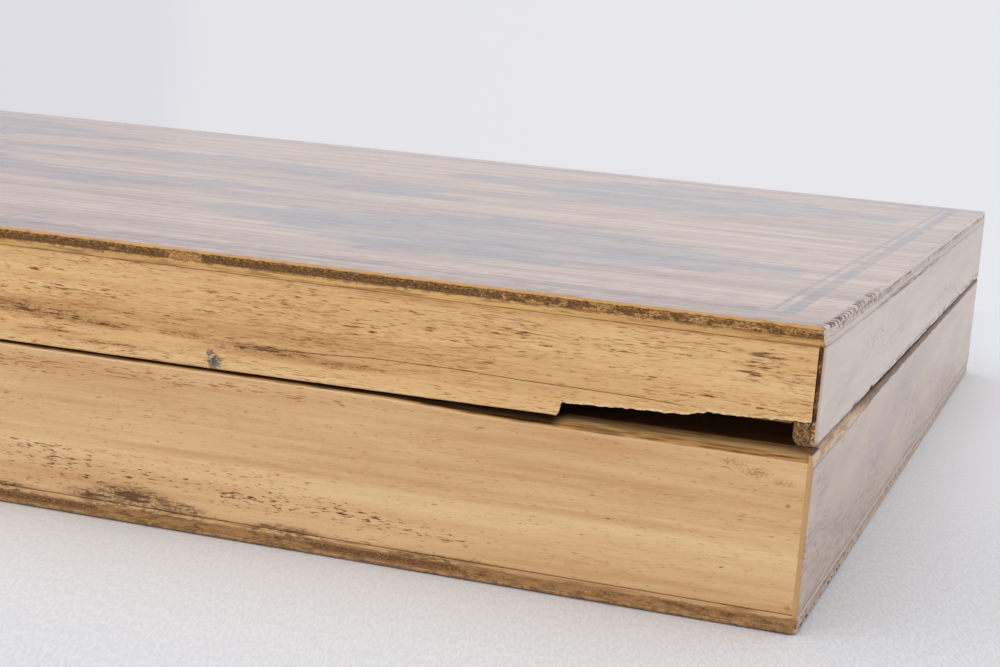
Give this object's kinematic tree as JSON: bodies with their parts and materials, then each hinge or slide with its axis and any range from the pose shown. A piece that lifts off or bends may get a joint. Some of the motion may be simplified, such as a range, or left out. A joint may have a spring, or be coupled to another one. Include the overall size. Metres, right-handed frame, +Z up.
{
  "type": "folding mancala board",
  "caption": "Shallow hinged wooden game case that opens flat into a board with rows of round pits and a long store at each end.",
  "frame": {"origin": "centre of the case's flat underside, without the hinge knuckles", "axes": "+Z up, +X from the hinge side to the opening side, +Y along the hinge line"},
  "size_m": [0.404, 0.319, 0.0504],
  "materials": {
    "rail_wood": "varnished, glossy, worn",
    "top_ply": "varnished plywood with worn dark print",
    "bottom_ply": "varnished plywood",
    "board_wood": "satin varnish",
    "batten_wood": "bare",
    "hinge_brass": "aged satin",
    "hinge_pin": "aged satin"
  },
  "bodies": {
    "base": {"base_bottom_panel": "bottom_ply", "base_front_rail": "rail_wood", "base_back_rail": "rail_wood", "base_hinge_rail": "rail_wood", "base_outer_rail": "rail_wood", "base_batten_hinge_side": "batten_wood", "base_batten_middle": "batten_wood", "base_batten_outer_side": "batten_wood", "base_pit_board_front": "board_wood", "base_pit_board_back": "board_wood", "base_store_board": "board_wood", "hinge_front_base_leaf": "hinge_brass", "hinge_back_base_leaf": "hinge_brass", "hinge_front_pin": "hinge_pin", "hinge_back_pin": "hinge_pin", "screw_front_base_1": "hinge_brass", "screw_front_base_2": "hinge_brass", "screw_back_base_1": "hinge_brass", "screw_back_base_2": "hinge_brass"},
    "lid": {"lid_top_panel": "top_ply", "lid_front_rail": "rail_wood", "lid_back_rail": "rail_wood", "lid_hinge_rail": "rail_wood", "lid_outer_rail": "rail_wood", "lid_pit_board_front": "board_wood", "lid_pit_board_back": "board_wood", "lid_store_board": "board_wood", "hinge_front_lid_leaf": "hinge_brass", "hinge_back_lid_leaf": "hinge_brass", "screw_front_lid_1": "hinge_brass", "screw_front_lid_2": "hinge_brass", "screw_back_lid_1": "hinge_brass", "screw_back_lid_2": "hinge_brass"}
  },
  "joints": [
    {"name": "lid_hinge", "type": "hinge", "parent": "base", "child": "lid", "pos_m": [-0.20212, 0, 0.02985], "axis": [0, -1, 0], "range_deg": [0, 180]}
  ]
}
